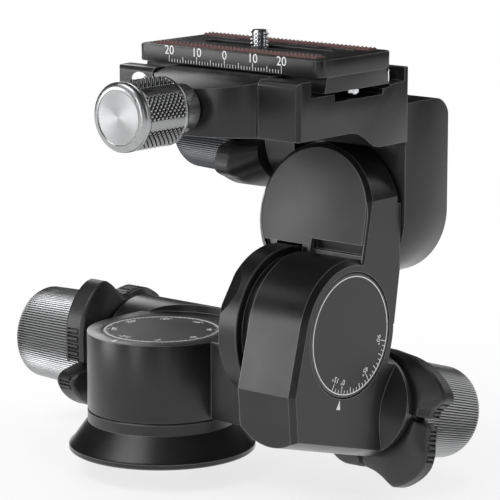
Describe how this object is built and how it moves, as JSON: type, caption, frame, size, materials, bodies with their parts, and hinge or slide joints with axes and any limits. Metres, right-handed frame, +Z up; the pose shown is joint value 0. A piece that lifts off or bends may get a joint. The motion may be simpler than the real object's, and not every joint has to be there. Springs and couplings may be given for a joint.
{
  "type": "geared tripod head",
  "caption": "Tripod head with worm-driven pan, lower tilt and upper tilt, squeeze release levers, angle dials and a quick-release clamp with a camera plate.",
  "frame": {"origin": "on the pan axis, at the underside of the foot", "axes": "+Z up along the pan axis, +X along the camera plate and the lower tilt axis towards the lower tilt dial, +Y along the upper tilt axis towards the head block"},
  "size_m": [0.1853, 0.1428, 0.1564],
  "materials": {
    "black_anodised": "satin black anodised aluminium",
    "grey_anodised": "satin grey anodised aluminium",
    "silver_aluminium": "diamond knurled, turned end face",
    "knob_silver": "fine straight knurl",
    "knob_dark": "fine straight knurl, dark grey anodised",
    "steel": "polished",
    "bronze": "machined",
    "black_plastic": "moulded black",
    "red_brown_rubber": "ribbed"
  },
  "bodies": {
    "base": {"base_flange": "black_anodised", "tripod_thread_bush": "steel", "pan_spindle": "steel", "pan_worm_wheel": "bronze", "pan_dial": "black_anodised"},
    "pan_frame": {"pan_housing": "black_anodised", "tilt_carrier_disc": "black_anodised", "tilt_axle": "steel", "tilt_worm_wheel": "bronze", "tilt_dial": "black_anodised", "pan_grip": "black_plastic", "pan_bush": "bronze"},
    "pan_drive": {"pan_worm": "steel", "pan_knob": "knob_silver"},
    "pan_lever": {"pan_release": "black_plastic"},
    "roll_frame": {"roll_housing": "black_anodised", "arm_cap": "grey_anodised", "head_axle": "steel", "head_worm_wheel": "bronze", "tilt_grip": "black_plastic", "tilt_bush": "bronze"},
    "tilt_drive": {"tilt_worm": "steel", "tilt_knob": "knob_silver"},
    "tilt_lever": {"tilt_release": "black_plastic"},
    "head_frame": {"head_block": "black_anodised", "clamp_body": "black_anodised", "head_grip": "black_plastic", "head_bush": "bronze"},
    "head_drive": {"head_worm": "steel", "head_knob": "knob_dark"},
    "head_lever": {"head_release": "black_plastic"},
    "pin": {"safety_pin": "steel"},
    "jaw": {"movable_jaw": "black_anodised", "clamp_knob_collar": "steel"},
    "clamp_drive": {"clamp_knob": "silver_aluminium", "clamp_screw": "steel"},
    "plate": {"camera_plate": "black_anodised", "strip_front": "red_brown_rubber", "strip_rear": "red_brown_rubber"},
    "screw": {"camera_screw": "steel"}
  },
  "joints": [
    {"name": "pan_turn", "type": "hinge", "parent": "base", "child": "pan_frame", "pos_m": [0, 0, 0.0145], "axis": [0, 0, 1], "continuous": true},
    {"name": "pan_worm_turn", "type": "hinge", "parent": "pan_frame", "child": "pan_drive", "pos_m": [0, 0.028, 0.0243], "axis": [-1, 0, 0], "continuous": true},
    {"name": "pan_release_squeeze", "type": "hinge", "parent": "pan_frame", "child": "pan_lever", "pos_m": [0, 0.028, 0.0243], "axis": [-1, 0, 0], "range_deg": [0, 5], "stiffness_Nm_per_rad": 0.6},
    {"name": "lower_tilt", "type": "hinge", "parent": "pan_frame", "child": "roll_frame", "pos_m": [0, 0, 0.05182], "axis": [1, 0, 0], "range_deg": [-15, 90]},
    {"name": "tilt_worm_turn", "type": "hinge", "parent": "roll_frame", "child": "tilt_drive", "pos_m": [0.073, -0.00569, 0.03057], "axis": [0, 0.9659, -0.2588], "range_deg": [-600, 3600]},
    {"name": "tilt_release_squeeze", "type": "hinge", "parent": "roll_frame", "child": "tilt_lever", "pos_m": [0.073, -0.00569, 0.03057], "axis": [0, 0.9659, -0.2588], "range_deg": [-5, 0], "stiffness_Nm_per_rad": 0.6},
    {"name": "upper_tilt", "type": "hinge", "parent": "roll_frame", "child": "head_frame", "pos_m": [0.0605, 0, 0.0877], "axis": [0, 1, 0], "range_deg": [-25, 90]},
    {"name": "head_worm_turn", "type": "hinge", "parent": "head_frame", "child": "head_drive", "pos_m": [0.0605, 0.039, 0.1097], "axis": [-1, 0, 0], "range_deg": [-1000, 3600]},
    {"name": "head_release_squeeze", "type": "hinge", "parent": "head_frame", "child": "head_lever", "pos_m": [0.0605, 0.039, 0.1097], "axis": [-1, 0, 0], "range_deg": [0, 5], "stiffness_Nm_per_rad": 0.6},
    {"name": "safety_pin_press", "type": "slide", "parent": "head_frame", "child": "pin", "axis": [0, 0, 1], "range_m": [-0.0025, 0], "stiffness_N_per_m": 400},
    {"name": "jaw_slide", "type": "slide", "parent": "head_frame", "child": "jaw", "axis": [0, -1, 0], "range_m": [0, 0.005]},
    {"name": "clamp_knob_turn", "type": "hinge", "parent": "jaw", "child": "clamp_drive", "pos_m": [0.04675, -0.041, 0.1283], "axis": [0, -1, 0], "range_deg": [0, 1800]},
    {"name": "plate_slide", "type": "slide", "parent": "head_frame", "child": "plate", "axis": [1, 0, 0], "range_m": [-0.012, 0.012]},
    {"name": "camera_screw_turn", "type": "hinge", "parent": "plate", "child": "screw", "pos_m": [0.0435, 0.001, 0.14425], "axis": [0, 0, 1], "continuous": true}
  ],
  "couplings": [
    {"joint": "pan_worm_turn", "follows": "pan_turn", "ratio": 40},
    {"joint": "tilt_worm_turn", "follows": "lower_tilt", "ratio": 40},
    {"joint": "head_worm_turn", "follows": "upper_tilt", "ratio": 40},
    {"joint": "clamp_knob_turn", "follows": "jaw_slide", "rad_per_m": 6283.2}
  ]
}
